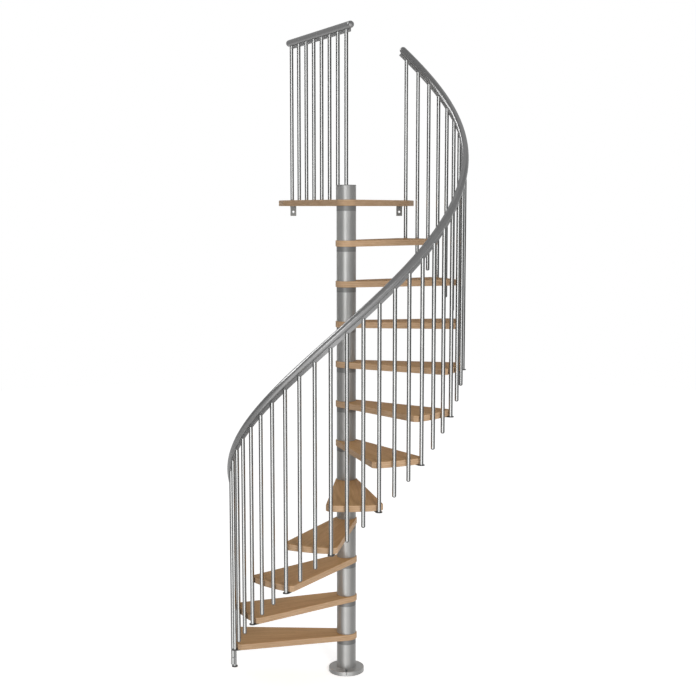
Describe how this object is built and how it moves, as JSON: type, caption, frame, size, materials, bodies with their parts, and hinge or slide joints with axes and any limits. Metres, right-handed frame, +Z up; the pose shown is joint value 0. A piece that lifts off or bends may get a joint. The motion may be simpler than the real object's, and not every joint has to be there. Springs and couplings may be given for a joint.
{
  "type": "spiral staircase",
  "caption": "Spiral staircase with wooden wedge treads on a round steel column, a helical handrail on slim steel tubes, and a wooden landing with its own straight railing.",
  "frame": {"origin": "on the floor, on the column's axis, at the underside of the base plate", "axes": "+Z up along the column; +Y towards the landing and the upper floor that it joins; the stair climbs counter-clockwise seen from above"},
  "size_m": [1.347, 1.4137, 3.667],
  "materials": {
    "tread_wood": "clear-lacquered layered beech, grain along the tread",
    "landing_wood": "clear-lacquered layered beech",
    "column_steel": "satin, drawn round the tube",
    "collar_metal": "darker satin grey",
    "core_steel": "plain steel, hidden",
    "cover_plastic": "grey, satin",
    "tube_steel": "satin, drawn along the tube",
    "rail_steel": "satin, smooth",
    "bar_steel": "satin grey",
    "fitting_metal": "dark grey",
    "flange_steel": "plain bright steel"
  },
  "bodies": {
    "root": {"tread_01": "tread_wood", "tread_02": "tread_wood", "tread_03": "tread_wood", "tread_04": "tread_wood", "tread_05": "tread_wood", "tread_06": "tread_wood", "tread_07": "tread_wood", "tread_08": "tread_wood", "tread_09": "tread_wood", "tread_10": "tread_wood", "tread_11": "tread_wood", "landing": "landing_wood", "spacer_tubes": "column_steel", "collars": "collar_metal", "column_cap": "collar_metal", "core_rod": "core_steel", "base_plate": "core_steel", "base_cover": "cover_plastic", "corner_tubes": "tube_steel", "infill_tubes_lower": "tube_steel", "infill_tubes_upper": "tube_steel", "floor_post": "tube_steel", "side_tubes": "tube_steel", "handrail": "rail_steel", "handrail_end_lower": "rail_steel", "handrail_end_upper": "rail_steel", "side_handrail": "rail_steel", "rail_bar": "bar_steel", "side_bar": "bar_steel", "foot_plates": "fitting_metal", "edge_clips": "fitting_metal", "tube_plugs": "fitting_metal", "floor_post_foot": "fitting_metal", "landing_flange_left": "flange_steel", "landing_flange_right": "flange_steel"}
  },
  "joints": []
}
